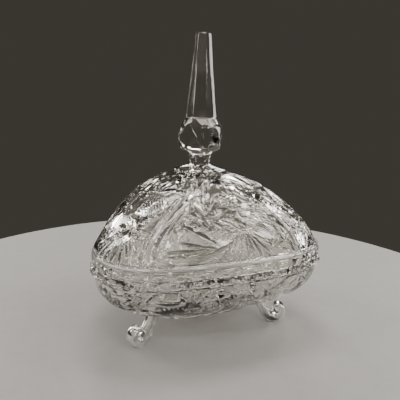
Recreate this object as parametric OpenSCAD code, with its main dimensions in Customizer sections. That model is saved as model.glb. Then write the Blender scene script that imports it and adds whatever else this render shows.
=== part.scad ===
// Covered crystal box: a rounded triangle in plan on three scroll feet,
// with a domed lid that lifts off by a six-sided spire finial.
// Origin: on the upright axis, at the level the feet stand on. +Z is up.
// One corner points to +Y (the back); the other two are front left and front right.

/* [Overall] */
// Mean plan radius of the lid at its rim
plan_radius = 83.9; // [60:0.1:120]
// How far the corners reach past the mean radius
corner_reach = 11.2; // [4:0.1:13]
// How far the sides are pushed out to straighten them
side_push = 1.4; // [0:0.1:2.5]
// Height of the parting between bowl and lid above the table
seam_height = 72.1; // [55:0.1:100]
// Height of the dome's crown above the table, where the boss stands
crown_height = 125.7; // [100:0.1:160]
// Height of the spire's flat top above the table
overall_height = 230.1; // [190:0.1:280]

/* [Bowl] */
// Height of the bowl's flat underside above the table
underside_height = 15.5; // [12:0.1:30]
// Thickness of the bowl's floor
floor_thickness = 7; // [4:0.1:12]
// Width of the ground rim, which is the bowl's wall thickness
rim_width = 6; // [3.5:0.1:9]
// How far the bowl's rim stands out past the lid
rim_overhang = 2; // [0:0.1:3]
// Mean plan radius of the flat underside
base_radius = 39.8; // [25:0.1:60]
// Height of the row of blocks under the rim
block_row_height = 8.8; // [5:0.1:12]
// Height of the row of lobes under the blocks
lobe_row_height = 5.2; // [3:0.1:8]
// Depth of the notches in both rows
notch_depth = 1.6; // [0.4:0.1:2.5]
// How far the lobes stand out past the bowl's smooth side
lobe_swell = 1.4; // [0:0.1:2.5]
// Notches in each row round the bowl
notch_count = 36; // [24:12:48]

/* [Lid] */
// Glass thickness at the lid's crown
lid_crown_thickness = 6; // [4:0.1:10]
// Depth of the locating lip below the parting
lip_depth = 4; // [2:0.1:7]
// Thickness of the locating lip
lip_width = 3; // [2:0.1:5]
// Gap between the lip and the bowl's inner wall
lip_clearance = 0.8; // [0.3:0.05:2]
// Gap left between the two ground faces
seat_gap = 0.02; // [0:0.01:0.2]
// Distance of each rib from its corner's middle line
rib_offset = 24; // [18:0.5:28]
// How much further out the ribs are at the lid's edge
rib_flare = 5; // [0:0.5:8]
// Height over the lid's edge at which that flare ends
rib_flare_height = 17; // [8:1:30]
// Height of the six ribs over the dome
rib_height = 1.6; // [0.4:0.1:3]
// Half width of a rib
rib_half_width = 2.4; // [1:0.1:3]
// Depth of the flutes that fan over the three corners
flute_depth = 1.1; // [0.2:0.1:2]

/* [Boss] */
// Radius of the fluted boss on the crown
boss_radius = 21; // [15:0.5:28]
// Height of the boss's edge over the crown
boss_edge = 1.2; // [0.5:0.1:5]
// Flutes round the boss
boss_flutes = 12; // [6:6:18]
// Depth of those flutes
boss_flute_depth = 1.2; // [0.3:0.1:2]
// Height of the boss's top over the crown
boss_rise = 5.5; // [3:0.1:12]

/* [Finial] */
// Corner radius of the neck where it leaves the boss
neck_radius = 7.6; // [5:0.1:12]
// Corner radius of the neck under the ball
neck_top_radius = 9; // [6:0.1:13]
// Height of the neck
neck_height = 8.4; // [5:0.1:16]
// Distance from the axis to the ball's six large facets
ball_apothem = 16.2; // [12:0.1:22]
// Height of the faceted ball
ball_height = 27.5; // [20:0.1:36]
// Height of each large facet
facet_height = 17; // [8:0.5:20]
// Half of the angle that a large facet's top edge spans
facet_edge_angle = 10; // [4:1:20]
// Height of the straight collar under the spire
collar_height = 1.6; // [0.5:0.1:4]
// Corner radius of the spire at its foot
spire_radius = 12; // [8:0.1:16]
// Corner radius of the spire at its top
spire_top_radius = 5.9; // [3:0.1:10]

/* [Feet] */
// Distance from the axis to each foot's point of contact
foot_reach = 67.2; // [50:0.1:80]
// Outer radius of the scroll
scroll_radius = 11.3; // [7:0.1:14]
// Width of a foot across the scroll
foot_width = 9; // [5:0.1:12]
// Thickness of the scroll's band where it leaves the bowl
leg_thickness = 7; // [4:0.1:9]
// Thickness of the band at the scroll's inner end
scroll_tip_thickness = 1.6; // [1:0.1:4]
// Radius of the bead at the scroll's eye
eye_radius = 2.6; // [1.5:0.1:4]
// How far the leg sinks into the glass at its shallowest
leg_sink = 2.4; // [1:0.1:4]
// How much of the scroll is ground off to make the flat pad
pad_grind = 0.35; // [0.1:0.05:1]

/* [Hidden] */
glass = [0.86, 0.89, 0.87, 0.45];
corner_azimuths = [90, 210, 330];

// plan outlines
bowl_radius = plan_radius + rim_overhang;
corner_share = corner_reach / plan_radius;
side_share = side_push / plan_radius;
base_share = base_radius / bowl_radius;
base_corner_gain = 0.026;   // how much the corners sharpen from rim to underside
crown_corner_loss = 0.426;  // how much the corners soften from rim to crown
bowl_steps = notch_count * 4;
glass_edge = 0.4;           // bevel on the rim's outer edge
under_inset = 0.6;          // how far the side under the two rows is cut back

// side profiles, both run from the parting (0) to the end (1)
bowl_curve = [3.9, 1.5];
dome_curve = [1.32, 0.422];
bowl_depth = seam_height - underside_height;
dome_rise = crown_height - seam_height;
wall_drop = 6;              // straight part of the bowl's inner wall, which the lip enters
ball_waist = 0.48;          // where the ball is widest, as a share of its height
neck_flare = 0.8;           // how far the boss's top reaches past the neck's corners
inner_floor = underside_height + floor_thickness;
lip_outer_inset = rim_width + lip_clearance;
lip_inner_inset = lip_outer_inset + lip_width;
boss_top = crown_height + boss_rise;
boss_share = boss_radius / plan_radius;
boss_level = pow(1 - pow(boss_share, 1 / dome_curve[1]), 1 / dome_curve[0]);

// finial levels
neck_top = boss_top + neck_height;
ball_top = neck_top + ball_height;
spire_foot = ball_top + collar_height;
ball_middle = neck_top + ball_height * ball_waist;

// Radius of the rounded triangle at an azimuth, from its mean radius and how fully
// it takes the rim's shape (0 is a circle, 1 the rim).
function plan(mean, fullness, az) =
    mean * (1 + fullness * (corner_share * cos(3 * (az - 90)) + side_share * cos(6 * (az - 90))));

// Height of a point at a share t of the way from the parting down the bowl, or up the dome.
function bowl_z(t) = seam_height - t * bowl_depth;
function dome_z(t) = seam_height + t * dome_rise;

// Plan size at that level as a share of the rim's.
function bowl_share(t) = base_share + (1 - base_share) * pow(1 - pow(t, bowl_curve[0]), bowl_curve[1]);
function dome_share(t) = pow(1 - pow(t, dome_curve[0]), dome_curve[1]);
function bowl_fullness(t) = 1 + base_corner_gain * t;
function dome_fullness(t) = 1 - crown_corner_loss * t;

// One ring of points per azimuth, at a radius and a height.
function ring_point(r, az, z) = [r * cos(az), r * sin(az), z];
function bowl_outer(t, az, cut = 0) =
    ring_point(plan(bowl_radius * bowl_share(t), bowl_fullness(t), az) - cut, az, bowl_z(t));
function dome_radius(t, az) = plan(plan_radius * dome_share(t), dome_fullness(t), az);
function dome_outer(t, az, gain = 0) =
    ring_point(dome_radius(t, az) + gain, az, dome_z(t));

// Closed skin over rings that all have n points, with a centre point at each end.
module skin(rings, first, last) {
    n = len(rings[0]);
    m = len(rings);
    points = concat([first], [for (ring = rings) each ring], [last]);
    sides = [
        for (j = [0 : m - 2], i = [0 : n - 1])
            let (a = 1 + j * n + i, b = 1 + j * n + (i + 1) % n)
                each [[a, b + n, b], [a, a + n, b + n]]
    ];
    start = [for (i = [0 : n - 1]) [0, 1 + i, 1 + (i + 1) % n]];
    end = [for (i = [0 : n - 1]) [m * n + 1, 1 + (m - 1) * n + (i + 1) % n, 1 + (m - 1) * n + i]];
    polyhedron(points, concat(start, sides, end), convexity = 6);
}

// ---- bowl ----

bowl_azimuths = [for (i = [0 : bowl_steps - 1]) i * 360 / bowl_steps];

// Depth cut from a row at a share w (0 to 1) down it. The row is fullest half-way down,
// and notch_floor of that fullness is left between two blocks or lobes.
notch_floor = 0.45;
function notch(az, w, phase) =
    let (across = pow(cos(notch_count * az / 2 + phase), 2))
        notch_depth * (1 - sin(180 * w) * (notch_floor + (1 - notch_floor) * across));
function lobe(az, w) = notch(az, w, 90) - lobe_swell * sin(180 * w);

// Two rows under the rim: the blocks, then the lobes, half a notch on from them.
row_shares = [0.35, 0.7, 1];
band_rings = concat(
    [[for (az = bowl_azimuths) bowl_outer(0, az, glass_edge)]],
    [for (w = row_shares)
        [for (az = bowl_azimuths) bowl_outer(w * block_row_height / bowl_depth, az, notch(az, w, 0))]],
    [for (w = row_shares)
        let (t = (block_row_height + w * lobe_row_height) / bowl_depth)
            [for (az = bowl_azimuths) bowl_outer(t, az, lobe(az, w))]]
);

under_levels = [0.36, 0.46, 0.56, 0.66, 0.76, 0.86, 0.94, 1];
under_rings = [for (t = under_levels) [for (az = bowl_azimuths) bowl_outer(t, az, under_inset)]];

// The inner wall keeps the rim's width, then follows the outside down to the flat floor.
function bowl_inner(t, az) =
    let (r = plan(bowl_radius * bowl_share(t), bowl_fullness(t), az) - rim_width)
        ring_point(r, az, seam_height - t * (seam_height - inner_floor));
inner_levels = [1, 0.94, 0.86, 0.76, 0.64, 0.5, 0.35, wall_drop / bowl_depth];
inner_rings = concat(
    [for (t = inner_levels) [for (az = bowl_azimuths) bowl_inner(t, az)]],
    [[for (az = bowl_azimuths) ring_point(plan(bowl_radius, 1, az) - rim_width, az, seam_height)]]
);

module bowl() {
    color(glass)
        skin(
            concat([for (j = [len(under_rings) - 1 : -1 : 0]) under_rings[j]],
                   [for (j = [len(band_rings) - 1 : -1 : 0]) band_rings[j]],
                   [for (j = [len(inner_rings) - 1 : -1 : 0]) inner_rings[j]]),
            [0, 0, underside_height], [0, 0, inner_floor]
        );
}

// ---- feet ----

// The scroll winds from the leg, under the eye, up the outside and in to the bead.
// Angles are about the eye, from straight outward; the leg slants in and widens above eye level.
scroll_start = 140;
scroll_bottom = 270;
scroll_end = 482;
scroll_step = 9;
leg_arc = 150;          // angle over which the slant reaches leg_slant
leg_slant = 2.85;
leg_slant_power = 5.4;
leg_widening = 0.84;
widening_start = 210;
widening_arc = 98;      // angle over which the widening reaches leg_widening
scroll_closing = 0.544;
scroll_closing_power = 2.05;
scroll_taper_power = 1.3;
leg_face_share = 0.78;  // where the leg meets the bowl, as a share of the scroll's radius in from the eye
function scroll_outer(a) =
    a < scroll_bottom
        ? scroll_radius * (1 + leg_slant * pow((scroll_bottom - a) / leg_arc, leg_slant_power))
        : scroll_radius * (1 - scroll_closing * pow((a - scroll_bottom) / 180, scroll_closing_power));
function band(a) =
    a < scroll_bottom
        ? leg_thickness * (1 + leg_widening * max(0, (widening_start - a) / widening_arc))
        : leg_thickness - (leg_thickness - scroll_tip_thickness)
            * pow((a - scroll_bottom) / (scroll_end - scroll_bottom), scroll_taper_power);
scroll_angles = [for (a = [scroll_start : scroll_step : scroll_end]) a];
function polar(r, a) = [r * cos(a), r * sin(a)];

// Side view of a foot: x outward from the eye, y up from the eye.
module scroll_profile() {
    polygon(concat(
        [for (a = scroll_angles) polar(scroll_outer(a), a)],
        [for (i = [len(scroll_angles) - 1 : -1 : 0])
            let (a = scroll_angles[i]) polar(scroll_outer(a) - band(a), a)]
    ));
    circle(r = eye_radius, $fn = 24);
}

// Height of the bowl's underside over a foot, at a distance from the axis.
function underside_at(r) =
    let (share = r / plan(bowl_radius, 1, corner_azimuths[0]),
         part = min(1, max(0, (share - base_share) / (1 - base_share))))
        bowl_z(pow(1 - pow(part, 1 / bowl_curve[1]), 1 / bowl_curve[0]));

module foot(az) {
    eye_height = scroll_radius - pad_grind;
    leg_face = foot_reach - leg_face_share * scroll_radius;
    leg_top = underside_at(leg_face) + leg_sink;
    color(glass)
        rotate([0, 0, az])
            translate([foot_reach, foot_width / 2, eye_height])
                rotate([90, 0, 0])
                    linear_extrude(foot_width)
                        intersection() {
                            scroll_profile();
                            translate([-3 * scroll_radius, -eye_height])
                                square([6 * scroll_radius, leg_top]);
                        }
}

// ---- lid ----

// Each rib keeps its distance from the corner's middle line, and flares near the lid's edge,
// so its angle from the corner grows up the dome until it meets the boss.
rib_flare_power = 1.5;
rib_angle_at_boss = 44;
widest_half_rib = 4;    // largest half width of a rib as an angle
crown_fade = 0.5;       // how much less the ribs and flutes stand out at the crown
function rib_distance(t) =
    rib_offset + rib_flare * pow(max(0, 1 - t * dome_rise / rib_flare_height), rib_flare_power);
function angle_out(distance, r) = min(rib_angle_at_boss, asin(min(1, distance / r)));
function rib_angle(t) =
    let (first = angle_out(rib_distance(t), dome_radius(t, corner_azimuths[0])))
        angle_out(rib_distance(t), dome_radius(t, corner_azimuths[0] + first));
function half_rib(t) = min(widest_half_rib, asin(rib_half_width / dome_radius(t, corner_azimuths[0])));

// Azimuths of one ring of the lid: even between the ribs of a corner and from corner to corner,
// with three at each rib.
corner_gaps = 12;
side_gaps = 16;
function sector_marks(t) =
    let (rib = rib_angle(t), half = half_rib(t), side = 120 - 2 * (rib + half))
        concat(
            [for (k = [-1 : 1]) k * half - rib],
            [for (k = [1 - corner_gaps / 2 : corner_gaps / 2 - 1]) k * 2 * rib / corner_gaps],
            [for (k = [-1 : 1]) k * half + rib],
            [for (k = [1 : side_gaps - 1]) rib + half + k * side / side_gaps]
        );
function lid_azimuths(t) =
    let (marks = sector_marks(min(t, boss_level)))
        [for (c = corner_azimuths) each [for (a = marks) c + a]];

// Angle from the nearest corner, and what the cutting adds to the dome there. The flutes fan
// over the corner, two between its middle and each rib.
function off_corner(az) = abs((az - 90 + 60 + 720) % 120 - 60);
function rib_gain(t, az) = max(0, 1 - abs(off_corner(az) - rib_angle(t)) / half_rib(t)) * rib_height;
function flute_gain(t, az) =
    let (share = off_corner(az) / rib_angle(t))
        share < 1 ? -flute_depth * (1 - t) * pow(sin(360 * share), 2) : 0;
function dome_gain(t, az) = (rib_gain(t, az) + flute_gain(t, az)) * (1 - crown_fade * t);

dome_levels = [0.03, 0.1, 0.2, 0.32, 0.45, 0.58, 0.71, 0.83, 0.92, boss_level];
dome_rings = concat(
    [[for (az = lid_azimuths(0)) ring_point(plan(plan_radius, 1, az), az, seam_height + seat_gap)]],
    [for (t = dome_levels) [for (az = lid_azimuths(t)) dome_outer(t, az, dome_gain(t, az))]]
);

// The boss: a fluted edge, then a shallow dome up to the flat the neck stands on.
function boss_flute(az) = boss_flute_depth * pow(sin(boss_flutes * az / 2), 2);
boss_levels = [[1, 0.35], [0.99, 1], [0.9, 1.45], [0.7, 2.15], [0.48, 2.9]];
boss_rings = concat(
    [for (b = boss_levels)
        let (z = min(crown_height + boss_edge * b[1], boss_top))
            [for (az = lid_azimuths(boss_level)) ring_point((boss_radius - boss_flute(az)) * b[0], az, z)]],
    [[for (az = lid_azimuths(boss_level)) ring_point(neck_radius + neck_flare, az, boss_top)]]
);

// The inside: down the lip's inner face from the crown, and round under it to the seat.
function lid_inner(t, az) =
    let (r = plan(bowl_radius * dome_share(t), dome_fullness(t), az) - lip_inner_inset * dome_share(t))
        ring_point(r, az, seam_height + t * (dome_rise - lid_crown_thickness));
cavity_levels = [0, 0.15, 0.3, 0.45, 0.6, 0.75, 0.87, 0.95, 0.99];
function lip_ring(inset, z) =
    [for (az = lid_azimuths(0)) ring_point(plan(bowl_radius, 1, az) - inset, az, z)];
lip_rings = [
    lip_ring(lip_outer_inset, seam_height + seat_gap),
    lip_ring(lip_outer_inset, seam_height - lip_depth),
    lip_ring(lip_inner_inset, seam_height - lip_depth)
];
cavity_rings = [for (t = cavity_levels) [for (az = lid_azimuths(t)) lid_inner(t, az)]];

module lid() {
    color(glass)
        skin(
            concat([for (j = [len(cavity_rings) - 1 : -1 : 0]) cavity_rings[j]],
                   [for (j = [len(lip_rings) - 1 : -1 : 0]) lip_rings[j]],
                   dome_rings, boss_rings),
            [0, 0, seam_height + dome_rise - lid_crown_thickness], [0, 0, boss_top]
        );
}

// ---- finial ----

facet_azimuths = [for (i = [0 : 5]) 60 * i - 90];

// Six points at one level, and twelve in pairs beside each facet's middle.
function six(r, z, turn = 0) = [for (az = facet_azimuths) ring_point(r, az + turn, z)];
function twelve(r, z) = [
    for (az = facet_azimuths) each
        [ring_point(r, az - facet_edge_angle, z), ring_point(r, az + facet_edge_angle, z)]
];

// Neck, faceted ball, collar and spire as one closed skin. The ball has six large facets
// that meet in points at its middle, with small facets above and below.
module finial() {
    edge_radius = ball_apothem / cos(facet_edge_angle);
    half = facet_height / 2;
    points = concat(
        six(neck_radius, boss_top),
        six(neck_top_radius, neck_top),
        twelve(edge_radius, ball_middle - half),
        six(ball_apothem / cos(30), ball_middle, 30),
        twelve(edge_radius, ball_middle + half),
        six(spire_radius, ball_top),
        six(spire_radius, spire_foot),
        six(spire_top_radius, overall_height)
    );
    // where each level starts in the list
    neck = 6;
    low = 12;
    middle = 24;
    high = 30;
    collar = 42;
    spire = 48;
    tip = 54;
    ball = [
        for (k = [0 : 5])
            let (next = (k + 1) % 6, last = (k + 5) % 6)
                each [
                    [middle + last, high + 2 * k, high + 2 * k + 1, middle + k, low + 2 * k + 1, low + 2 * k],
                    [middle + k, high + 2 * k + 1, high + 2 * next],
                    [high + 2 * k + 1, collar + k, collar + next, high + 2 * next],
                    [high + 2 * k, collar + k, high + 2 * k + 1],
                    [middle + k, low + 2 * next, low + 2 * k + 1],
                    [low + 2 * k + 1, low + 2 * next, neck + next, neck + k],
                    [low + 2 * k, low + 2 * k + 1, neck + k]
                ]
    ];
    prisms = [
        for (level = [[0, neck], [collar, spire], [spire, tip]], k = [0 : 5])
            [level[0] + k, level[1] + k, level[1] + (k + 1) % 6, level[0] + (k + 1) % 6]
    ];
    ends = [[for (k = [0 : 5]) k], [for (k = [5 : -1 : 0]) tip + k]];
    color(glass) polyhedron(points, concat(ends, ball, prisms), convexity = 4);
}

bowl();
foot(corner_azimuths[1]);  // foot_left
foot(corner_azimuths[2]);  // foot_right
foot(corner_azimuths[0]);  // foot_back
lid();
finial();
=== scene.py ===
"""Covered crystal box on three scroll feet: cut and pressed glass over the shared frame."""
import math

import bmesh
import bpy
import numpy as np
from mathutils import Matrix, Vector


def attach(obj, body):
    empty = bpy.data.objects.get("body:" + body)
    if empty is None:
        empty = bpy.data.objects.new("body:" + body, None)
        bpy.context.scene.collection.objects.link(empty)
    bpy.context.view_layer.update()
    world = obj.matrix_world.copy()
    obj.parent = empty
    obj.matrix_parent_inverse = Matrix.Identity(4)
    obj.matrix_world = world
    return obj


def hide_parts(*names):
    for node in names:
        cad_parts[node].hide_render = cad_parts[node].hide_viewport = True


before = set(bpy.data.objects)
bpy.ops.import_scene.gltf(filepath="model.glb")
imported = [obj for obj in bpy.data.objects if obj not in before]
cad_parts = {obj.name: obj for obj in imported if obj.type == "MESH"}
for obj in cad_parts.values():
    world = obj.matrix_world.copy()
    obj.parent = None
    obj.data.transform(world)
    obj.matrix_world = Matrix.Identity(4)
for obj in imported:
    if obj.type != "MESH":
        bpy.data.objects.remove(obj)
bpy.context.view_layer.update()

MM = 0.001

# ---- sizes in mm, the same as in the CAD source ----
PLAN_RADIUS = 83.9
CORNER_REACH = 11.2
SIDE_PUSH = 1.4
SEAM_HEIGHT = 72.1
CROWN_HEIGHT = 125.7
OVERALL_HEIGHT = 230.1
UNDERSIDE_HEIGHT = 15.5
FLOOR_THICKNESS = 7.0
RIM_WIDTH = 6.0
RIM_OVERHANG = 2.0
BASE_RADIUS = 39.8
BLOCK_ROW_HEIGHT = 8.8
LOBE_ROW_HEIGHT = 5.2
LOBE_SWELL = 1.4
NOTCH_COUNT = 36
LID_CROWN_THICKNESS = 6.0
LIP_DEPTH = 4.0
LIP_WIDTH = 3.0
LIP_CLEARANCE = 0.8
SEAT_GAP = 0.02
RIB_OFFSET = 24.0
RIB_FLARE = 5.0
RIB_FLARE_HEIGHT = 17.0
RIB_HEIGHT = 1.6
BOSS_RADIUS = 21.0
BOSS_EDGE = 1.2
BOSS_FLUTES = 12
BOSS_FLUTE_DEPTH = 1.2
BOSS_RISE = 5.5
NECK_RADIUS = 7.6
NECK_TOP_RADIUS = 9.0
NECK_HEIGHT = 8.4
BALL_APOTHEM = 16.2
BALL_HEIGHT = 27.5
FACET_HEIGHT = 17.0
FACET_EDGE_ANGLE = math.radians(10)
COLLAR_HEIGHT = 1.6
SPIRE_RADIUS = 12.0
SPIRE_TOP_RADIUS = 5.9
FOOT_REACH = 67.2
SCROLL_RADIUS = 11.3
FOOT_WIDTH = 9.0
LEG_THICKNESS = 7.0
SCROLL_TIP_THICKNESS = 1.6
EYE_RADIUS = 2.6
PAD_GRIND = 0.35
LEG_SINK = 2.4

# ---- the scroll, by angle about its eye in degrees; its curve is the same as in the CAD source ----
SCROLL_START = 139
SCROLL_BOTTOM = 270
SCROLL_END = 482
SCROLL_STEP = 3
LEG_ARC = 150
LEG_SLANT = 2.85
LEG_SLANT_POWER = 5.4
WIDENING_START = 210
WIDENING_ARC = 98
LEG_WIDENING = 0.84
SCROLL_CLOSING = 0.544
SCROLL_CLOSING_POWER = 2.05
SCROLL_TAPER_POWER = 1.3
ROOT_START = 165        # the leg spreads sideways from here up to the bowl
ROOT_ARC = 26
ROOT_SPREAD = 0.18
TIP_START = 462         # the band closes to a rounded end from here
TIP_ARC = 20.5

BACK = math.radians(90)
CORNERS = {"back": math.radians(90), "left": math.radians(210), "right": math.radians(330)}
SIDES = [math.radians(a) for a in (30, 150, 270)]

# ---- what follows from the sizes, and the curves that both files share ----
BOWL_RADIUS = PLAN_RADIUS + RIM_OVERHANG
BASE_SHARE = BASE_RADIUS / BOWL_RADIUS
BOWL_DEPTH = SEAM_HEIGHT - UNDERSIDE_HEIGHT
DOME_RISE = CROWN_HEIGHT - SEAM_HEIGHT
INNER_FLOOR = UNDERSIDE_HEIGHT + FLOOR_THICKNESS
BAND_HEIGHT = BLOCK_ROW_HEIGHT + LOBE_ROW_HEIGHT
BOWL_CURVE = (3.9, 1.5)
DOME_CURVE = (1.32, 0.422)
BASE_CORNER_GAIN = 0.026    # how much the corners sharpen from rim to underside
CROWN_CORNER_LOSS = 0.426   # how much the corners soften from rim to crown
RIB_FLARE_POWER = 1.5
BALL_WAIST = 0.48           # where the ball is widest, as a share of its height
WALL_DROP = 6.0
BOSS_TOP = CROWN_HEIGHT + BOSS_RISE
BOSS_LEVEL = (1 - (BOSS_RADIUS / PLAN_RADIUS) ** (1 / DOME_CURVE[1])) ** (1 / DOME_CURVE[0])

# ---- detail that only the visual pieces have ----
BODY_CUT = 0.6        # depth of the bowl's ground outside its marks
ROW_CUT = 3.0         # depth of the joins between the rows under the rim
EDGE_EASE = 0.5       # how far the polished edges are rounded off
MOUTH_EASE = 0.4
LID_EDGE_EASE = 0.35
FINIAL_BEVEL = 0.7
AROUND = 1296         # points round each ring of the bowl and the lid
DOME_RINGS = 230
BODY_RINGS = 170
BAND_RINGS = 52
FACE_BUDGET = 190000  # triangles left in each of the two large skins

# ---- the view ----
CAMERA_AZIMUTH = math.radians(-22.37)
CAMERA_ELEVATION = math.radians(13.04)
CAMERA_ROLL = math.radians(1.76)
CAMERA_DISTANCE = 0.3551
CAMERA_AIM_HEIGHT = 0.10105
CAMERA_LENS = 38.97
CAMERA_SHIFT = 0.00365
FLOOR_RADIUS = 310
FLOOR_SIDES = 96


# ---- the rounded-triangle plan and the two side profiles ----

def plan(mean, fullness, az):
    """Radius at an azimuth; a fullness of 0 is a circle, and 1 has the rim's corners."""
    corner = CORNER_REACH / PLAN_RADIUS * np.cos(3 * (az - BACK))
    side = SIDE_PUSH / PLAN_RADIUS * np.cos(6 * (az - BACK))
    return mean * (1 + fullness * (corner + side))


def bowl_share(t):
    """Radius as a share of the rim's, from t = 0 at the rim to 1 at the underside."""
    return BASE_SHARE + (1 - BASE_SHARE) * (1 - t ** BOWL_CURVE[0]) ** BOWL_CURVE[1]


def dome_share(t):
    """Radius as a share of the seam's, from t = 0 at the seam to 1 at the crown."""
    return (1 - t ** DOME_CURVE[0]) ** DOME_CURVE[1]


def bowl_mean(t):
    return BOWL_RADIUS * bowl_share(t)


def dome_mean(t):
    return PLAN_RADIUS * dome_share(t)


def bowl_height(t):
    return SEAM_HEIGHT - t * BOWL_DEPTH


def dome_height(t):
    return SEAM_HEIGHT + t * DOME_RISE


def bowl_radius_at(t, az):
    return plan(bowl_mean(t), 1 + BASE_CORNER_GAIN * t, az)


def dome_radius_at(t, az):
    return plan(dome_mean(t), 1 - CROWN_CORNER_LOSS * t, az)


def even_azimuths(count):
    """Azimuths from the back corner round, evenly spaced along the seam, and its length in mm."""
    az = BACK + np.linspace(0, 2 * math.pi, 7201)
    r = plan(PLAN_RADIUS, 1, az)
    step = np.hypot(np.diff(r * np.cos(az)), np.diff(r * np.sin(az)))
    run = np.concatenate([[0], np.cumsum(step)])
    return np.interp(np.arange(count) / count * run[-1], run, az), run[-1]


def even_levels(radius, height, first, last, count):
    """Levels evenly spaced along a profile, and each one's distance along it in mm."""
    t = np.linspace(first, last, 4001)
    step = np.hypot(np.diff(radius(t)), np.diff(height(t)))
    run = np.concatenate([[0], np.cumsum(step)])
    at = np.linspace(0, run[-1], count)
    return np.interp(at, run, t), at


AZ, PERIMETER = even_azimuths(AROUND)


def ring(radius, height):
    """One ring of points; radius and height are a number or one value for each azimuth."""
    r = np.broadcast_to(radius, AZ.shape)
    z = np.broadcast_to(height, AZ.shape)
    return np.stack([r * np.cos(AZ), r * np.sin(AZ), z], axis=-1)


def surface_normals(grid):
    """Outward unit normals of a grid of rings that runs upward."""
    along = np.gradient(grid, axis=0)
    around = np.roll(grid, -1, axis=1) - np.roll(grid, 1, axis=1)
    n = np.cross(around, along)
    return n / np.linalg.norm(n, axis=-1, keepdims=True)


# ---- the cutter's marks: each gives a depth in mm over points x, y ----

def mitre(x, y, start, end, width, depth, bow=0.0, fullest=0.5):
    """V-shaped cut, pointed at both ends and widest part-way along; bow bends it sideways."""
    dx, dy = end[0] - start[0], end[1] - start[1]
    length = math.hypot(dx, dy)
    along = ((x - start[0]) * dx + (y - start[1]) * dy) / length ** 2
    s = np.clip(along, 0, 1)
    across = ((y - start[1]) * dx - (x - start[0]) * dy) / length - bow * 4 * s * (1 - s)
    half = np.where(s < fullest, 0.5 * s / fullest, 0.5 + 0.5 * (s - fullest) / (1 - fullest))
    swell = 4 * half * (1 - half)
    return depth * np.clip(swell - np.abs(across) / (width / 2), 0, None)


def flute(x, y, start, end, width, depth):
    """Round-bottomed groove that widens from its start to its end."""
    dx, dy = end[0] - start[0], end[1] - start[1]
    length = math.hypot(dx, dy)
    along = np.clip(((x - start[0]) * dx + (y - start[1]) * dy) / length ** 2, 0, 1)
    across = ((y - start[1]) * dx - (x - start[0]) * dy) / length
    half = width / 2 * (0.15 + 0.85 * along)
    ends = np.clip(4 * along, 0, 1) * np.clip(12 * (1 - along), 0, 1)
    return depth * ends * np.clip(1 - (across / half) ** 2, 0, None)


def lens(x, y, centre, half_width, half_height, depth, turn=0.0):
    """Smooth oval hollow, like a thumbprint."""
    dx, dy = x - centre[0], y - centre[1]
    a = dx * math.cos(turn) + dy * math.sin(turn)
    b = dy * math.cos(turn) - dx * math.sin(turn)
    return depth * np.clip(1 - (a / half_width) ** 2 - (b / half_height) ** 2, 0, None)


def loop(x, y, centre, half_width, half_height, width, depth):
    """V-shaped line round an oval."""
    a, b = (x - centre[0]) / half_width, (y - centre[1]) / half_height
    off = (np.hypot(a, b) - 1) * min(half_width, half_height)
    return depth * np.clip(1 - np.abs(off) / (width / 2), 0, None)


def star(x, y, centre, rays, inner, outer, width, depth, turn=0.0):
    """Mitres that radiate from a plain centre."""
    dx, dy = x - centre[0], y - centre[1]
    angle = np.arctan2(dy, dx) - turn
    step = 2 * math.pi / rays
    fold = angle - np.round(angle / step) * step
    r = np.hypot(dx, dy)
    return mitre(r * np.cos(fold), r * np.sin(fold), (inner, 0), (outer, 0), width, depth, fullest=0.4)


def fan(x, y, apex, ends, width, depth, bow=0.0, fullest=0.6):
    """Mitres from one point to each end."""
    cuts = [mitre(x, y, apex, end, width, depth, bow, fullest) for end in ends]
    return np.max(cuts, axis=0)


def ladder(x, y, start, end, rungs, length, width, depth):
    """Short level cuts, one over the other, from start to end."""
    cuts = []
    for share in np.linspace(0, 1, rungs):
        cx = start[0] + (end[0] - start[0]) * share
        cy = start[1] + (end[1] - start[1]) * share
        cuts.append(mitre(x, y, (cx - length / 2, cy), (cx + length / 2, cy), width, depth))
    return np.max(cuts, axis=0)


def diamonds(x, y, centre, half_width, half_height, pitch, depth):
    """Two crossing sets of fine V cuts inside an oval."""
    inside = np.clip(3 * lens(x, y, centre, half_width, half_height, 1.0), 0, 1)
    cut = 0
    for angle in (math.radians(60), -math.radians(60)):
        w = ((x - centre[0]) * math.cos(angle) + (y - centre[1]) * math.sin(angle)) / pitch
        cut = np.maximum(cut, 1 - 4 * np.abs(w - np.round(w)))
    return depth * inside * np.clip(cut, 0, 1)


def hatch(x, y, centre, half_width, half_height, pitch, depth, turn=0.0):
    """Fine parallel cuts in an oval hollow."""
    inside = np.clip(4 * lens(x, y, centre, half_width, half_height, 1.0, turn), 0, 1)
    w = ((x - centre[0]) * math.cos(turn) + (y - centre[1]) * math.sin(turn)) / pitch
    return inside * (0.35 + depth * np.abs(2 * (w - np.floor(w)) - 1))


# ---- lid pattern, on a flat laid against each panel: x to the right, y up from the seam ----

PANEL_LEAN = math.radians(40)


def panel_coordinates(points, centre):
    """Where points fall on the leaning flat at an azimuth."""
    out = np.array([math.cos(centre), math.sin(centre), 0])
    across = np.array([-math.sin(centre), math.cos(centre), 0])
    up = -out * math.sin(PANEL_LEAN) + np.array([0, 0, math.cos(PANEL_LEAN)])
    foot = plan(PLAN_RADIUS, 1, centre) * out + np.array([0, 0, SEAM_HEIGHT])
    return points @ across, (points - foot) @ up


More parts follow.
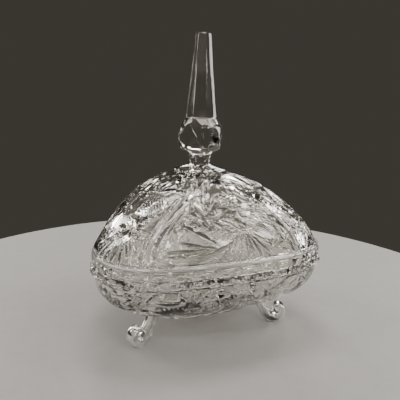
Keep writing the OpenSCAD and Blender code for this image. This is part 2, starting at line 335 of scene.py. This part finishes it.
def side_panel(x, y):
    """Depth of the cuts between two ribs on a side of the lid."""
    hub = (-17, 32)
    apex = (8, 24)
    cuts = [
        # plain hexagon with its petals, and the fan that stands on it
        star(x, y, hub, 6, 4.5, 15, 5.0, 1.3, math.radians(30)),
        star(x, y, hub, 12, 6, 11, 2.0, 0.8, math.radians(15)),
        fan(x, y, (-16, 38), [(-27, 52), (-22, 57), (-16, 60), (-10, 59), (-4, 55)], 3.4, 1.2),
        # long mitres across the lower left
        mitre(x, y, (-40, 34), (-8, 11), 3.6, 1.3),
        mitre(x, y, (-25, 38), (-14, 16), 3.0, 1.2),
        fan(x, y, (-9, 11), [(-42, 20), (-52, 15), (-56, 11), (-38, 6)], 3.0, 1.1, bow=1.2),
        mitre(x, y, (-36, 5), (6, 18), 2.6, 1.0, bow=-1.5),
        lens(x, y, (-47, 5.5), 12, 6.0, 1.3, math.radians(-8)),
        lens(x, y, (-43, 28), 3.6, 8.5, 1.2, math.radians(8)),
        lens(x, y, (-35, 26), 4.0, 5.5, 1.2),
        # bold vanes that sweep to the right
        np.minimum(mitre(x, y, (4, 34), (43, 12), 6.8, 4.5, bow=2.6, fullest=0.4), 1.2),
        mitre(x, y, (0, 38.5), (31, 41), 5.0, 1.4, bow=1.0),
        fan(x, y, (6, 36), [(32, 38), (36, 34), (39, 29), (41, 24), (43, 18)], 1.8, 0.9, bow=0.8),
        # lower fan down to the rim
        fan(x, y, apex, [(-15, 1), (-9, 0), (-3, 0), (3, 0), (9, 0), (15, 1), (21, 2), (27, 5), (34, 8)],
            2.3, 1.1, fullest=0.7),
        # fine diamonds between the vanes
        diamonds(x, y, (-4, 25), 9, 8, 2.7, 0.8),
        diamonds(x, y, (0, 48), 11, 7, 2.7, 0.8),
        diamonds(x, y, (-33, 44), 7, 6, 2.7, 0.7),
        lens(x, y, (17, 50), 9, 4.5, 0.9, math.radians(-35)),
        mitre(x, y, (10, 60), (32, 36), 3.0, 1.0, bow=1.5),
        fan(x, y, (48, 4), [(38, 22), (42, 20), (46, 18), (33, 10)], 2.4, 0.9),
        mitre(x, y, (-28, 2.5), (-2, 4), 2.6, 0.9, bow=1.2),
    ]
    return np.max(cuts, axis=0)


def corner_panel(x, y):
    """Depth of the cuts between two ribs on a corner of the lid."""
    centre = (6, 28.5)
    skirt = [(-27 + 7.6 * k, 1.5 + 0.18 * abs(k - 3.5) ** 2) for k in range(8)]
    cuts = [
        star(x, y, centre, 8, 1.5, 14, 4.4, 1.9, math.radians(4)),
        star(x, y, centre, 16, 4, 10, 1.6, 0.8, math.radians(0.5)),
        np.max([flute(x, y, (0.25 * end[0] + 1, 21), end, 6.4, 1.3) for end in skirt], axis=0),
        hatch(x, y, (7.5, 49.5), 12, 8.2, 1.9, 1.5, math.radians(40)),
        mitre(x, y, (1, 35), (20, 45), 4.4, 2.0, bow=-0.6),
        mitre(x, y, (-22, 52), (-9, 34), 3.2, 1.1, bow=1.0),
        fan(x, y, (0, 62), [(-14, 72), (-7, 75), (0, 76), (7, 75), (14, 71)], 3.0, 1.0),
        fan(x, y, (-6, 25), [(-31, 7), (-31, 12), (-31, 17), (-30, 22), (-28, 27)], 2.4, 1.1),
        lens(x, y, (16, 68), 4.5, 3.0, 1.0, math.radians(35)),
        lens(x, y, (-14, 61), 4.5, 3.0, 1.0, math.radians(-35)),
    ]
    return np.max(cuts, axis=0)


def rib_profile(offset):
    """Raised rib between two fine grooves, over the distance from its middle."""
    away = np.abs(offset)
    ridge = RIB_HEIGHT * np.clip(1 - away / 1.9, 0, None)
    groove = 0.9 * np.clip(1 - np.abs(away - 2.9) / 0.9, 0, None)
    outer = 0.5 * np.clip(1 - np.abs(away - 4.9) / 0.8, 0, None)
    return ridge - groove - outer


def dome_relief(points):
    """Height of the glass over the smooth dome."""
    x, y, z = points[..., 0], points[..., 1], points[..., 2]
    az = np.arctan2(y, x)
    r = np.hypot(x, y)
    third = 2 * math.pi / 3
    off_corner = (az - BACK + third / 2) % third - third / 2
    # each rib runs level with its corner's middle line, and flares near the lid's edge
    flare = RIB_FLARE * np.clip(1 - (z - SEAM_HEIGHT) / RIB_FLARE_HEIGHT, 0, 1) ** RIB_FLARE_POWER
    rib_offset = r * np.abs(np.sin(off_corner)) - RIB_OFFSET - flare
    edge = np.clip((np.abs(rib_offset) - 3.2) / 1.2, 0, 1)
    relief = np.zeros_like(z)
    panels = [(centre, side_panel, rib_offset > 0) for centre in SIDES]
    panels += [(centre, corner_panel, rib_offset <= 0) for centre in CORNERS.values()]
    for centre, pattern, between_ribs in panels:
        gap = np.abs((az - centre + math.pi) % (2 * math.pi) - math.pi)
        mask = (gap < third / 2) & between_ribs
        px, py = panel_coordinates(points[mask], centre)
        relief[mask] = -edge[mask] * pattern(px, py)
    # leaves that radiate from under the boss, two to each sixth
    leaves = 0
    for k in range(12):
        middle = BACK + (k + 0.5) * math.pi / 6
        lean = 0.16 if k % 2 else -0.16
        near = (24 * math.cos(middle + lean), 24 * math.sin(middle + lean))
        far = (44 * math.cos(middle - lean / 3), 44 * math.sin(middle - lean / 3))
        leaves = np.maximum(leaves, mitre(x, y, near, far, 6.5, 1.5, fullest=0.55))
    relief = np.minimum(relief, -leaves)
    fade = np.clip((r - BOSS_RADIUS - 1.5) / 6, 0, 1)
    relief = relief + fade * rib_profile(rib_offset) * (0.55 + 0.45 * np.clip(r / PLAN_RADIUS, 0, 1))
    # polished line just over the lid's edge
    line = 0.7 * np.clip(1 - np.abs(z - SEAM_HEIGHT - 2.6) / 0.8, 0, None)
    land = np.clip((z - SEAM_HEIGHT - 1.2) / 1.2, 0, 1)
    return land * relief - line


# ---- bowl pattern: x along the rim from the nearest side's middle, y down from the rim ----

def band_cells(along, down):
    """Two rows under the rim: rounded blocks, then smaller lobes that stand out past them."""
    pitch = PERIMETER / NOTCH_COUNT
    x = (along / pitch - np.floor(along / pitch) - 0.5) * pitch
    is_block = down < BLOCK_ROW_HEIGHT
    start = np.where(is_block, -0.4, BLOCK_ROW_HEIGHT)
    end = np.where(is_block, BLOCK_ROW_HEIGHT, BAND_HEIGHT)
    swell = np.sin(math.pi * np.clip((down - start) / (end - start), 0, 1)) ** 0.7
    across = np.clip((pitch / 2 - np.abs(x)) / 2.4, 0, 1)
    cut = ROW_CUT * (1 - swell * (0.5 + 0.5 * across)) - LOBE_SWELL * np.where(is_block, 0, swell * across)
    window = lens(x, down, (0, 4.4), 5.2, 2.2, 1.1)
    arc = loop(x, down, (0, 6.6), 6.5, 6.2, 1.7, 1.1) * (down > 7.2)
    petals = star(x, down, (0, 8), 10, 0.8, 4.8, 1.6, 0.8) * (down > 8)
    cross = star(x - np.sign(x) * pitch / 2, down, (0, 10.5), 4, 0, 4.0, 2.2, 1.1, math.radians(45))
    return np.max([cut + window, cut + arc, cut + petals, cut + cross], axis=0)


def bowl_pattern(x, down):
    """x is measured from a side's middle, to 94 mm at a corner; the pattern mirrors there."""
    fleur = (31, 29)
    thumb = (49, 27)
    gap = (71, 29)
    corner = (94, 29)
    cuts = [
        star(x, down, (0, 28), 8, 2.5, 11, 4.2, 1.5, math.radians(22.5)),
        star(x, down, (0, 28), 16, 4.5, 8, 1.6, 0.8),
        ladder(x, down, (12.5, 17), (12.5, 50), 8, 8.5, 3.8, 2.0),
        fan(x, down, fleur, [(19, 17), (25, 13.5), (31, 12.5), (37, 14), (42, 17)], 4.4, 1.3),
        fan(x, down, (31, 30), [(24, 43), (31, 45), (38, 43)], 3.4, 1.1),
        lens(x, down, thumb, 13, 11.5, 2.2),
        loop(x, down, (49, 29), 15.5, 14.5, 1.9, 1.1),
        star(x, down, gap, 6, 1.0, 12, 4.6, 1.4, math.radians(30)),
        diamonds(x, down, (71, 19), 8, 5, 3.0, 0.8),
        diamonds(x, down, (71, 40), 9, 5, 3.0, 0.8),
        diamonds(x, down, (17, 40), 9, 6, 3.0, 0.8),
        star(x, down, corner, 8, 2.5, 14.5, 5.0, 1.5, math.radians(22.5)),
        star(x, down, corner, 16, 4.5, 10, 1.8, 0.8),
    ]
    return np.max(cuts, axis=0)


def bowl_relief(along, down):
    """Depth cut into the bowl's outside; along is measured from a corner."""
    third = PERIMETER / 3
    x = np.abs(along % third - third / 2)
    body = BODY_CUT + bowl_pattern(x, down)
    comb = (along / 5.2 - np.floor(along / 5.2) - 0.5) * 2
    low = np.clip((down - 44) / 6, 0, 1) * np.clip((74 - down) / 10, 0, 1)
    body = np.maximum(body, BODY_CUT + 1.1 * low * (1 - np.abs(comb)))
    body = body + 1.2 * np.exp(-(down - BAND_HEIGHT) / 5)
    shoulder = np.clip((down - BAND_HEIGHT) / 0.8, 0, 1)
    return np.where(down < BAND_HEIGHT, band_cells(along, down), shoulder * body + (1 - shoulder) * ROW_CUT)


# ---- meshes ----

def make_object(name, points, faces, smooth_angle=None):
    """Object from points in mm; edges sharper than the smooth angle, in degrees, stay crisp."""
    mesh = bpy.data.meshes.new(name)
    mesh.from_pydata((np.asarray(points) * MM).tolist(), [], faces)
    mesh.update()
    if smooth_angle is not None:
        mesh.polygons.foreach_set("use_smooth", [True] * len(mesh.polygons))
        mesh.set_sharp_from_angle(angle=math.radians(smooth_angle))
    obj = bpy.data.objects.new(name, mesh)
    bpy.context.scene.collection.objects.link(obj)
    return obj


def skin(name, rings, first=None, last=None, smooth_angle=30):
    """Skin over rings that start on the underside; an end closes on its point where one is given."""
    count = len(rings[0])
    points = np.concatenate(rings)
    i = np.arange(count)
    row = np.arange(len(rings) - 1)[:, None] * count
    here, after = row + i, row + (i + 1) % count
    faces = np.stack([here, after, after + count, here + count], axis=-1).reshape(-1, 4).tolist()
    if first is not None:
        points = np.concatenate([points, [first]])
        hub = len(points) - 1
        faces += [[hub, (k + 1) % count, k] for k in range(count)]
    if last is not None:
        points = np.concatenate([points, [last]])
        hub = len(points) - 1
        top = (len(rings) - 1) * count
        faces += [[hub, top + k, top + (k + 1) % count] for k in range(count)]
    return make_object(name, points, faces, smooth_angle)


def thin_out(obj):
    """Spends the face budget where the cutting is, and leaves few faces on smooth glass."""
    total = sum(len(face.vertices) - 2 for face in obj.data.polygons)
    thin = obj.modifiers.new("thin", "DECIMATE")
    thin.ratio = FACE_BUDGET / total
    bpy.context.view_layer.update()
    seen = obj.evaluated_get(bpy.context.evaluated_depsgraph_get())
    mesh = bpy.data.meshes.new_from_object(seen)
    obj.modifiers.clear()
    obj.data = mesh
    mesh.set_sharp_from_angle(angle=math.radians(30))


def mark_ground(obj, is_ground):
    """Gives the ground finish, the second material, to faces whose centre passes the test."""
    for face in obj.data.polygons:
        if is_ground(face.center / MM, face.normal):
            face.material_index = 1


def build_bowl():
    """Bowl with its cut outside, polished rim and plain inside."""
    levels, down = even_levels(bowl_mean, bowl_height, 0.0, 1.0, 2001)
    rows = np.concatenate([
        np.linspace(EDGE_EASE, BAND_HEIGHT, BAND_RINGS),
        np.linspace(BAND_HEIGHT, down[-1], BODY_RINGS + 1)[1:],
    ])
    rows = rows[::-1, None]
    grid = np.stack([
        ring(bowl_radius_at(t, AZ), bowl_height(t)) for t in np.interp(rows[:, 0], down, levels)
    ])
    along = np.arange(AROUND) / AROUND * PERIMETER
    cut = bowl_relief(*np.broadcast_arrays(along[None, :], rows))
    normal = surface_normals(grid)
    normal[..., 2] = np.clip(normal[..., 2], -0.75, None)
    fade = np.clip((down[-1] - rows) / 3, 0, 1)
    outside = grid - normal * (cut * fade)[..., None]
    # star of 24 rays under the base
    edge = outside[0]
    ray = np.abs(((AZ - BACK) * 24 / (2 * math.pi)) % 1 - 0.5) * 2
    base = []
    for share in (0.06, 0.25, 0.5, 0.75, 0.93):
        lift = 0.9 * ray * math.sin(math.pi * share)
        base.append(np.stack([edge[:, 0] * share, edge[:, 1] * share, UNDERSIDE_HEIGHT + lift], axis=-1))
    rim_outer = plan(BOWL_RADIUS, 1, AZ)
    rim = [
        ring(rim_outer - EDGE_EASE, SEAM_HEIGHT),
        ring(rim_outer - RIM_WIDTH + MOUTH_EASE, SEAM_HEIGHT),
        ring(rim_outer - RIM_WIDTH, SEAM_HEIGHT - MOUTH_EASE),
    ]
    inside = [
        ring(bowl_radius_at(v, AZ) - RIM_WIDTH, SEAM_HEIGHT - v * (SEAM_HEIGHT - INNER_FLOOR))
        for v in np.linspace(WALL_DROP / BOWL_DEPTH, 0.995, 16)
    ]
    rings = base + list(outside) + rim + inside
    bowl = skin("cut_bowl", rings, (0, 0, UNDERSIDE_HEIGHT), (0, 0, INNER_FLOOR))
    thin_out(bowl)
    mark_ground(bowl, lambda c, n: c.z > SEAM_HEIGHT - 0.01)
    return bowl


def build_lid():
    """Hollow lid: cavity, lip and seat, cut dome, and fluted boss, open where the finial joins it."""
    levels, _ = even_levels(dome_mean, dome_height, 0.004, BOSS_LEVEL, DOME_RINGS)
    grid = np.stack([ring(dome_radius_at(t, AZ), dome_height(t)) for t in levels])
    outside = grid + surface_normals(grid) * dome_relief(grid)[..., None]
    top = CROWN_HEIGHT + BOSS_EDGE
    flutes = BOSS_FLUTE_DEPTH * np.sin(BOSS_FLUTES * (AZ - BACK) / 2) ** 2
    boss = [
        ring((BOSS_RADIUS - flutes) * share, rise)
        for share, rise in (
            (1.0, CROWN_HEIGHT + 0.3), (1.005, top - 0.35), (0.985, top + 0.1), (0.95, top + 0.35),
            (0.90, top + 0.55), (0.82, top + 0.95), (0.74, top + 1.4), (0.66, top + 1.75),
            (0.58, top + 2.2), (0.50, top + 2.8), (0.45, top + 3.4),
        )
    ]
    turn = np.abs((AZ - BACK + math.pi / 6) % (math.pi / 3) - math.pi / 6)
    neck = NECK_RADIUS * math.cos(math.pi / 6) / np.cos(math.pi / 6 - turn)
    boss += [ring(neck * 0.35 + (NECK_RADIUS + 1.2) * 0.65, BOSS_TOP - 0.25), ring(neck, BOSS_TOP)]
    lip_outer = plan(BOWL_RADIUS, 1, AZ) - RIM_WIDTH - LIP_CLEARANCE
    seat = SEAM_HEIGHT + SEAT_GAP
    lip = [
        ring(lip_outer - LIP_WIDTH, SEAM_HEIGHT - LIP_DEPTH + EDGE_EASE),
        ring(lip_outer - LIP_WIDTH + EDGE_EASE, SEAM_HEIGHT - LIP_DEPTH),
        ring(lip_outer - EDGE_EASE, SEAM_HEIGHT - LIP_DEPTH),
        ring(lip_outer, SEAM_HEIGHT - LIP_DEPTH + EDGE_EASE),
        ring(lip_outer, seat),
        ring(plan(PLAN_RADIUS, 1, AZ) - LID_EDGE_EASE, seat),
    ]
    inner_rise = DOME_RISE - LID_CROWN_THICKNESS
    cavity = [
        ring(
            plan(BOWL_RADIUS * dome_share(t), 1 - CROWN_CORNER_LOSS * t, AZ)
            - (RIM_WIDTH + LIP_CLEARANCE + LIP_WIDTH) * dome_share(t),
            SEAM_HEIGHT + t * inner_rise,
        )
        for t in (0.998, 0.985, 0.96, 0.92, 0.86, 0.78, 0.69, 0.6, 0.5, 0.4, 0.3, 0.2, 0.1, 0.0)
    ]
    rings = cavity + lip + list(outside) + boss
    lid = skin("cut_lid", rings, (0, 0, SEAM_HEIGHT + inner_rise), None)
    thin_out(lid)
    mark_ground(lid, lambda c, n: abs(c.z - seat) < 0.01)
    return lid


def build_finial():
    """Six-sided neck, faceted ball, collar and spire, open below, so its glass runs on into the boss."""
    facets = [math.radians(60 * k - 90) for k in range(6)]

    def six(r, z, turn=0.0):
        return [(r * math.cos(a + turn), r * math.sin(a + turn), z) for a in facets]

    def twelve(r, z):
        angles = [a + side * FACET_EDGE_ANGLE for a in facets for side in (-1, 1)]
        return [(r * math.cos(a), r * math.sin(a), z) for a in angles]

    neck_top = BOSS_TOP + NECK_HEIGHT
    ball_top = neck_top + BALL_HEIGHT
    spire_foot = ball_top + COLLAR_HEIGHT
    ball_middle = neck_top + BALL_HEIGHT * BALL_WAIST
    edge_radius = BALL_APOTHEM / math.cos(FACET_EDGE_ANGLE)
    points = (
        six(NECK_RADIUS, BOSS_TOP) + six(NECK_TOP_RADIUS, neck_top)
        + twelve(edge_radius, ball_middle - FACET_HEIGHT / 2)
        + six(BALL_APOTHEM / math.cos(math.pi / 6), ball_middle, math.pi / 6)
        + twelve(edge_radius, ball_middle + FACET_HEIGHT / 2)
        + six(SPIRE_RADIUS, ball_top) + six(SPIRE_RADIUS, spire_foot) + six(SPIRE_TOP_RADIUS, OVERALL_HEIGHT)
    )
    neck, low, middle, high, collar, spire, tip = 6, 12, 24, 30, 42, 48, 54
    faces = [[tip + k for k in range(6)]]
    for k in range(6):
        after, before = (k + 1) % 6, (k + 5) % 6
        upper, lower = high + 2 * k, low + 2 * k
        faces += [
            [middle + before, lower, lower + 1, middle + k, upper + 1, upper],
            [middle + k, high + 2 * after, upper + 1],
            [upper + 1, high + 2 * after, collar + after, collar + k],
            [upper, upper + 1, collar + k],
            [middle + k, lower + 1, low + 2 * after],
            [lower + 1, neck + k, neck + after, low + 2 * after],
            [lower, neck + k, lower + 1],
        ]
        for start, end in ((0, neck), (collar, spire), (spire, tip)):
            faces.append([start + k, start + after, end + after, end + k])
    finial = make_object("cut_finial", points, faces)
    work = bmesh.new()
    work.from_mesh(finial.data)
    inner_edges = [e for e in work.edges if len(e.link_faces) == 2]
    bmesh.ops.bevel(
        work, geom=inner_edges, offset=FINIAL_BEVEL * MM, offset_type="OFFSET", segments=4, profile=0.5,
        affect="EDGES", clamp_overlap=True,
    )
    work.to_mesh(finial.data)
    work.free()
    finial.data.polygons.foreach_set("use_smooth", [True] * len(finial.data.polygons))
    finial.data.set_sharp_from_angle(angle=math.radians(24))
    return finial


def scroll_outer(a):
    """Distance of the scroll's outer face from its eye."""
    if a < SCROLL_BOTTOM:
        return SCROLL_RADIUS * (1 + LEG_SLANT * ((SCROLL_BOTTOM - a) / LEG_ARC) ** LEG_SLANT_POWER)
    return SCROLL_RADIUS * (1 - SCROLL_CLOSING * ((a - SCROLL_BOTTOM) / 180) ** SCROLL_CLOSING_POWER)


def scroll_band(a):
    """Thickness of the rolled band."""
    if a < SCROLL_BOTTOM:
        return LEG_THICKNESS * (1 + LEG_WIDENING * max(0, (WIDENING_START - a) / WIDENING_ARC))
    share = (a - SCROLL_BOTTOM) / (SCROLL_END - SCROLL_BOTTOM)
    return LEG_THICKNESS - (LEG_THICKNESS - SCROLL_TIP_THICKNESS) * share ** SCROLL_TAPER_POWER


def squircle(angle, power=4.0):
    """Point on a rounded square, one unit from its middle to each side."""
    c, s = math.cos(angle), math.sin(angle)
    size = (abs(c) ** power + abs(s) ** power) ** (-1 / power)
    return c * size, s * size


def scroll_tube(around):
    """The rolled band as rings of points about its eye, with the faces between them."""
    angles = np.arange(SCROLL_START, SCROLL_END + 0.1, SCROLL_STEP)
    points = []
    for a in angles:
        outer, band = scroll_outer(a), scroll_band(a)
        direction = math.radians(a)
        spread = 1 + ROOT_SPREAD * max(0, (ROOT_START - a) / ROOT_ARC) ** 2
        closing = math.sqrt(max(0.02, 1 - max(0, (a - TIP_START) / TIP_ARC) ** 2))
        for k in range(around):
            out, side = squircle(2 * math.pi * k / around)
            radius = outer - band / 2 * (1 - out * closing)
            side *= FOOT_WIDTH / 2 * spread * (0.6 + 0.4 * closing)
            points.append((radius * math.cos(direction), side, radius * math.sin(direction)))
    faces = tube_faces(0, len(angles), around)
    last = (len(angles) - 1) * around
    faces.append([last + k for k in range(around)])
    return points, faces


def bead(start, rows, around):
    """The bead at the eye, slightly proud of the band's edges; its points count from start."""
    points = []
    for j in range(rows):
        phase = math.pi * (j + 0.5) / rows
        width = -math.cos(phase) * (FOOT_WIDTH / 2 + 0.3)
        radius = EYE_RADIUS * math.sin(phase) ** 0.45
        for k in range(around):
            angle = 2 * math.pi * k / around
            points.append((radius * math.cos(angle), width, radius * math.sin(angle)))
    faces = tube_faces(start, rows, around)
    last = start + (rows - 1) * around
    faces.append([start + k for k in range(around)])
    faces.append([last + k for k in range(around - 1, -1, -1)])
    return points, faces


def tube_faces(start, rows, around):
    """Four-sided faces between rows of points that begin at start."""
    faces = []
    for j in range(rows - 1):
        for k in range(around):
            here, after = start + j * around + k, start + j * around + (k + 1) % around
            faces.append([here, here + around, after + around, after])
    return faces


def build_foot(name, az):
    """A thick glass band rolled outward into a scroll round a bead, with softly rounded edges."""
    points, faces = scroll_tube(36)
    bead_points, bead_faces = bead(len(points), 15, 28)
    faces += bead_faces
    local = np.array(points + bead_points)
    out = local[:, 0] + FOOT_REACH
    side = local[:, 1]
    # the leg ends inside the bowl's glass, so it never shows through to the inside
    up = np.clip(local[:, 2] + SCROLL_RADIUS - PAD_GRIND, 0, underside_at(out) + LEG_SINK)
    x = out * math.cos(az) - side * math.sin(az)
    y = out * math.sin(az) + side * math.cos(az)
    return make_object(name, np.stack([x, y, up], axis=-1), faces, 40)


def underside_at(r):
    """Height of the bowl's underside over a foot, at a distance from the axis."""
    share = np.asarray(r) / plan(BOWL_RADIUS, 1, BACK)
    part = np.clip((share - BASE_SHARE) / (1 - BASE_SHARE), 0, 1)
    return SEAM_HEIGHT - BOWL_DEPTH * (1 - part ** (1 / BOWL_CURVE[1])) ** (1 / BOWL_CURVE[0])


# ---- materials ----

def crystal(name, tint_a, tint_b, wave_scale, wave_height, roughness=0.02):
    """Clear lead glass: a faint warm-grey tint that varies, and a soft fire-polished ripple."""
    material = bpy.data.materials.new(name)
    material.use_nodes = True
    nodes, links = material.node_tree.nodes, material.node_tree.links
    shader = nodes["Principled BSDF"]
    shader.inputs["Transmission Weight"].default_value = 1.0
    shader.inputs["Roughness"].default_value = roughness
    shader.inputs["IOR"].default_value = 1.54
    where = nodes.new("ShaderNodeTexCoord")
    cloud = nodes.new("ShaderNodeTexNoise")
    cloud.inputs["Scale"].default_value = 14.0
    cloud.inputs["Detail"].default_value = 3.0
    tint = nodes.new("ShaderNodeValToRGB")
    tint.color_ramp.elements[0].position = 0.3
    tint.color_ramp.elements[0].color = (*tint_a, 1)
    tint.color_ramp.elements[1].position = 0.7
    tint.color_ramp.elements[1].color = (*tint_b, 1)
    ripple = nodes.new("ShaderNodeTexNoise")
    ripple.inputs["Scale"].default_value = wave_scale
    ripple.inputs["Detail"].default_value = 2.0
    bump = nodes.new("ShaderNodeBump")
    bump.inputs["Strength"].default_value = 0.5
    bump.inputs["Distance"].default_value = wave_height
    links.new(where.outputs["Object"], cloud.inputs["Vector"])
    links.new(where.outputs["Object"], ripple.inputs["Vector"])
    links.new(cloud.outputs["Fac"], tint.inputs["Fac"])
    links.new(tint.outputs["Color"], shader.inputs["Base Color"])
    links.new(ripple.outputs["Fac"], bump.inputs["Height"])
    links.new(bump.outputs["Normal"], shader.inputs["Normal"])
    return material


def floor_material():
    material = bpy.data.materials.new("pale_floor")
    material.use_nodes = True
    nodes, links = material.node_tree.nodes, material.node_tree.links
    shader = nodes["Principled BSDF"]
    grain = nodes.new("ShaderNodeTexNoise")
    grain.inputs["Scale"].default_value = 60.0
    tone = nodes.new("ShaderNodeValToRGB")
    tone.color_ramp.elements[0].color = (0.33, 0.326, 0.318, 1)
    tone.color_ramp.elements[1].color = (0.37, 0.366, 0.358, 1)
    links.new(grain.outputs["Fac"], tone.inputs["Fac"])
    links.new(tone.outputs["Color"], shader.inputs["Base Color"])
    shader.inputs["Roughness"].default_value = 0.7
    return material


# ---- stage, lights and camera ----

def add_stage():
    angles = [2 * math.pi * k / FLOOR_SIDES for k in range(FLOOR_SIDES)]
    points = [(FLOOR_RADIUS * math.cos(a), FLOOR_RADIUS * math.sin(a), 0) for a in angles]
    floor = make_object("floor", points, [list(range(FLOOR_SIDES))])
    floor.data.materials.append(floor_material())


def add_light(name, position, aim, size, energy, warmth=1.0):
    light = bpy.data.lights.new(name, "AREA")
    light.shape = "RECTANGLE"
    light.size, light.size_y = size
    light.energy = energy
    light.color = (1.0, 0.5 + 0.5 * warmth, warmth)
    obj = bpy.data.objects.new(name, light)
    obj.location = position
    obj.rotation_euler = (Vector(aim) - Vector(position)).to_track_quat("-Z", "Y").to_euler()
    obj.visible_camera = False
    bpy.context.scene.collection.objects.link(obj)


def add_lights():
    """Small soft lights all round, as in a studio, under a dark warm sky; distances in metres."""
    add_light("top_softbox", (0.0, 0.1, 0.95), (0, 0, 0.08), (0.3, 0.3), 3.2, 0.92)
    for k in range(9):
        turn = math.radians(40 * k + 12)
        reach, height = (0.72, 0.42) if k % 2 else (0.58, 0.72)
        position = (reach * math.cos(turn), reach * math.sin(turn), height)
        add_light("softbox_%d" % k, position, (0, 0, 0.08), (0.14, 0.2), 1.15, 0.9)
    for name, turn in (("strip_left", math.radians(135)), ("strip_right", math.radians(2))):
        position = (0.62 * math.cos(turn), 0.62 * math.sin(turn), 0.3)
        add_light(name, position, (0, 0, 0.14), (0.1, 0.5), 1.2, 0.92)
    add_light("front_strip", (0.43, -0.5, 0.45), (0, 0, 0.09), (0.3, 0.1), 1.2, 0.92)
    world = bpy.data.worlds.new("studio")
    bpy.context.scene.world = world
    world.use_nodes = True
    nodes, links = world.node_tree.nodes, world.node_tree.links
    where = nodes.new("ShaderNodeTexCoord")
    split = nodes.new("ShaderNodeSeparateXYZ")
    sky = nodes.new("ShaderNodeValToRGB")
    dark, bright = sky.color_ramp.elements
    dark.position, dark.color = 0.25, (0.05, 0.046, 0.038, 1)
    bright.position, bright.color = 0.95, (0.34, 0.32, 0.28, 1)
    middle = sky.color_ramp.elements.new(0.5)
    middle.color = (0.074, 0.067, 0.054, 1)
    links.new(where.outputs["Generated"], split.inputs["Vector"])
    links.new(split.outputs["Z"], sky.inputs["Fac"])
    links.new(sky.outputs["Color"], nodes["Background"].inputs["Color"])


def add_camera():
    """Camera where the photograph's was, fitted to the feet, seam, boss, ball and spire."""
    flat = math.cos(CAMERA_ELEVATION)
    back = Vector((
        math.sin(CAMERA_AZIMUTH) * flat, -math.cos(CAMERA_AZIMUTH) * flat, math.sin(CAMERA_ELEVATION),
    ))
    data = bpy.data.cameras.new("camera")
    data.sensor_width = 36.0
    data.lens = CAMERA_LENS
    data.shift_x = CAMERA_SHIFT
    data.clip_start = 0.01
    camera = bpy.data.objects.new("camera", data)
    bpy.context.scene.collection.objects.link(camera)
    turn = back.to_track_quat("Z", "Y").to_matrix().to_4x4()
    place = Matrix.Translation(Vector((0, 0, CAMERA_AIM_HEIGHT)) + back * CAMERA_DISTANCE)
    camera.matrix_world = place @ turn @ Matrix.Rotation(CAMERA_ROLL, 4, "Z")
    bpy.context.scene.camera = camera


add_camera()
add_stage()
add_lights()

cut_glass = crystal("cut_crystal", (0.94, 0.93, 0.885), (0.985, 0.975, 0.945), 90.0, 0.00008)
plain_glass = crystal("plain_crystal", (0.96, 0.958, 0.93), (0.99, 0.985, 0.965), 60.0, 0.00006)
ground_glass = crystal("ground_crystal", (0.86, 0.87, 0.86), (0.93, 0.93, 0.92), 2500.0, 0.00015, 0.35)

bowl = build_bowl()
lid = build_lid()
finial = build_finial()
pieces = {
    bowl: ("base", "bowl", "cut_crystal"),
    lid: ("cover", "lid", "cut_crystal"),
    finial: ("cover", "finial", "plain_crystal"),
}
for side, az in CORNERS.items():
    pieces[build_foot("scroll_foot_" + side, az)] = ("base", "foot_" + side, "plain_crystal")

for piece, (body, node, finish) in pieces.items():
    piece.data.materials.append(cut_glass if finish == "cut_crystal" else plain_glass)
    if piece in (bowl, lid):
        piece.data.materials.append(ground_glass)
    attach(piece, body)
    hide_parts(node)

bpy.context.scene.cycles.max_bounces = 24
bpy.context.scene.cycles.transmission_bounces = 24
bpy.context.scene.cycles.transparent_max_bounces = 16
